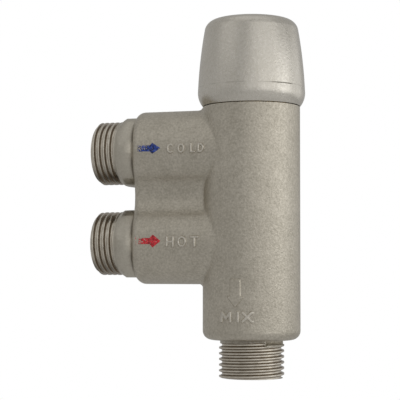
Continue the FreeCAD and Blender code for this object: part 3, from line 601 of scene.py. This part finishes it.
def raised_mark(name, skin, strokes, half_width, edge, height, material, filled=False):
    """A cast relief: a sheet that rises over the strokes and dips under the body's skin."""
    margin = half_width + edge + MARK_STEP
    us = [u for stroke in strokes for u, v in stroke]
    vs = [v for stroke in strokes for u, v in stroke]
    low_u, low_v = min(us) - margin, min(vs) - margin
    columns = round((max(us) + margin - low_u) / MARK_STEP)
    rows = round((max(vs) + margin - low_v) / MARK_STEP)
    mesh = bmesh.new()

    def corner_at(i, j):
        u = low_u + MARK_STEP * i
        v = low_v + MARK_STEP * j
        away = distance_to(strokes, u, v)
        if filled and inside(strokes[0], u, v):
            away = -away
        if away > margin:
            return None
        lift = (height + SUNK) * eased((half_width + edge - away) / edge) - SUNK
        return mesh.verts.new((u, skin(u, v) - lift, v))

    grid = [[corner_at(i, j) for i in range(columns + 1)] for j in range(rows + 1)]
    for below, above in zip(grid, grid[1:]):
        for i in range(columns):
            corners = (below[i], below[i + 1], above[i + 1], above[i])
            if None not in corners:
                mesh.faces.new(corners)
    loose = [vertex for vertex in mesh.verts if not vertex.link_faces]
    bmesh.ops.delete(mesh, geom=loose, context="VERTS")
    piece = linked_object(name, mesh, material)
    piece.data.polygons.foreach_set("use_smooth", [True] * len(piece.data.polygons))
    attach(piece, "root")


def words(skin):
    for name, strokes, half_width in (
        ("word_cold", word_strokes(COLD, COLD_Z - 1.25 * MM, 2.5 * MM), STROKE_HALF),
        ("word_hot", word_strokes(HOT, HOT_Z - 1.2 * MM, 2.9 * MM), STROKE_HALF),
        ("word_mix", word_strokes(MIX, 18.5 * MM, 2.7 * MM), FAT_STROKE_HALF),
    ):
        # the letters take the lighter nickel, a painted highlight
        raised_mark(name, skin, strokes, half_width, STROKE_EDGE, STROKE_HEIGHT, painted_highlight_nickel)


def arrows(skin):
    mix_arrow = arrow(31.4, 26.2, 26.0, 23.1, 1.5, 2.4, upright=True, du=-0.93 * MM)
    cold_arrow = arrow(-34.2, -30.1, -29.3, -26.9, 0.8, 1.55, dv=COLD_Z + 0.2 * MM)
    hot_arrow = arrow(-33.7, -30.0, -29.1, -26.7, 0.8, 1.85, dv=HOT_Z + 0.45 * MM)
    hot_tail = [
        (-34.85 * MM, HOT_Z + 1.6 * MM),
        (-35.05 * MM, HOT_Z + 0.6 * MM),
        (-34.6 * MM, HOT_Z - 0.7 * MM),
    ]
    raised_mark("arrow_mix", skin, [mix_arrow], 0.0, 0.5 * MM, 0.4 * MM, cast_nickel,
                filled=True)
    raised_mark("arrow_cold", skin, [cold_arrow], 0.0, PAINTED_EDGE, PAINTED_HEIGHT, blue,
                filled=True)
    raised_mark("arrow_hot", skin, [hot_arrow], 0.0, PAINTED_EDGE, PAINTED_HEIGHT, red,
                filled=True)
    raised_mark("arrow_hot_tail", skin, [hot_tail], 0.05 * MM, 0.2 * MM, 0.1 * MM, red)


# --------------------------------------------------------------- stage, light

CAMERA_EYE = Vector((0.1125, -0.4064, 0.0343))
CAMERA_HEADING = 17.733
CAMERA_PITCH = 3.085
CAMERA_ROLL = 0.092
CAMERA_LENS_MM = 117.6
CAMERA_SENSOR_MM = 36.0

MIDDLE = Vector((0, 0, 0.06))
FLOOR_DROP = 0.2
FLOOR_R = 1.0
FLOOR_STEPS = 96
FLOOR_SEEN_WHITE = 0.9
MIRRORED_WHITE = 0.05               # share of the white background that the metal mirrors
PALE = (0.82, 0.82, 0.82, 1.0)
WHITE = (1.0, 1.0, 1.0, 1.0)
WORLD_LEVEL = 0.43

LAMP_DISTANCE = 0.7
NEUTRAL = (1.0, 1.0, 1.0)
COOL = (0.98, 0.99, 1.0)

# Bearing 0 is behind the camera and + to its right.
Lamp = namedtuple("Lamp", "name bearing elevation width height level color")
LAMPS = (
    Lamp("key", 72, 6, 0.45, 0.4, 0.98, COOL),
    Lamp("right", 112, 6, 0.45, 0.4, 0.44, COOL),
    Lamp("front_right", 35, 6, 0.45, 0.4, 0.57, NEUTRAL),
    Lamp("front", 0, 6, 0.45, 0.4, 0.24, NEUTRAL),
    Lamp("upper_front", 30, 33, 0.8, 0.3, 0.32, NEUTRAL),
    Lamp("upper_left", -60, 33, 0.5, 0.3, 0.2, NEUTRAL),
    Lamp("top", 0, 80, 0.8, 0.6, 0.2, NEUTRAL),
)


def place_camera():
    data = bpy.data.cameras.new("camera")
    data.lens = CAMERA_LENS_MM
    data.sensor_width = CAMERA_SENSOR_MM
    camera = objects.new("camera", data)
    scene.collection.objects.link(camera)
    turn = Matrix.Rotation(math.radians(CAMERA_HEADING), 4, "Z")
    tilt = Matrix.Rotation(math.radians(90 + CAMERA_PITCH), 4, "X")
    roll = Matrix.Rotation(math.radians(CAMERA_ROLL), 4, "Z")
    camera.matrix_world = Matrix.Translation(CAMERA_EYE) @ turn @ tilt @ roll
    scene.camera = camera


def place_lamp(lamp):
    """A plain rectangular lamp that faces the object."""
    data = bpy.data.lights.new(lamp.name, "AREA")
    data.shape = "RECTANGLE"
    data.size = lamp.width
    data.size_y = lamp.height
    data.color = lamp.color
    data.energy = lamp.level * math.pi * lamp.width * lamp.height
    holder = objects.new(lamp.name, data)
    scene.collection.objects.link(holder)
    bearing = math.radians(CAMERA_HEADING + lamp.bearing)
    rise = math.radians(lamp.elevation)
    away = Vector((math.sin(bearing) * math.cos(rise), -math.cos(bearing) * math.cos(rise),
                   math.sin(rise)))
    holder.location = MIDDLE + away * LAMP_DISTANCE
    holder.rotation_euler = away.to_track_quat("Z", "Y").to_euler()
    holder.visible_camera = False


def white_share(tree, seen, mirrored):
    """Share of white that the camera sees straight, and that metal and glass mirror."""
    path = add(tree, "ShaderNodeLightPath", {}).outputs
    bounced = calculate(tree, "MAXIMUM", path["Is Glossy Ray"], path["Is Transmission Ray"])
    return calculate(tree, "MAXIMUM",
                     calculate(tree, "MULTIPLY", bounced, mirrored),
                     calculate(tree, "MULTIPLY", path["Is Camera Ray"], seen))


def build_world():
    world = bpy.data.worlds.new("studio")
    world.use_nodes = True
    tree = world.node_tree
    tree.nodes.clear()
    light = add(tree, "ShaderNodeBackground", {"Color": WHITE, "Strength": WORLD_LEVEL})
    white = add(tree, "ShaderNodeBackground", {"Color": WHITE, "Strength": 1.0})
    surface = mixed_shader(tree, white_share(tree, 1.0, MIRRORED_WHITE),
                           light.outputs["Background"], white.outputs["Background"])
    add(tree, "ShaderNodeOutputWorld", {"Surface": surface})
    scene.world = world


def floor_surface(tree):
    """Matte and pale for shadows, and nearly white to the camera."""
    matte = add(tree, "ShaderNodeBsdfDiffuse", {"Color": PALE})
    white = add(tree, "ShaderNodeEmission", {"Color": WHITE})
    return mixed_shader(tree, white_share(tree, FLOOR_SEEN_WHITE, MIRRORED_WHITE),
                        matte.outputs["BSDF"], white.outputs["Emission"])


def build_floor():
    mesh = bmesh.new()
    bmesh.ops.create_circle(mesh, cap_ends=True, segments=FLOOR_STEPS, radius=FLOOR_R)
    floor = linked_object("floor", mesh, material_of("floor_look", floor_surface))
    floor.location.z = -FLOOR_DROP


# ------------------------------------------------------------------ the scene

dress_nodes()
cast_body = threaded("valve_body", "cast_body", "outlet", cast_nickel, upright_thread)
for side in ("cold", "hot"):
    threaded(side + "_inlet_union", side + "_threaded_union", side + "_inlet", collar_nickel,
             inlet_thread)
shortening_springs()
body_skin = skin_of(cast_body)
words(body_skin)
arrows(body_skin)

scene.view_settings.view_transform = "Standard"
place_camera()
build_world()
build_floor()
for lamp in LAMPS:
    place_lamp(lamp)
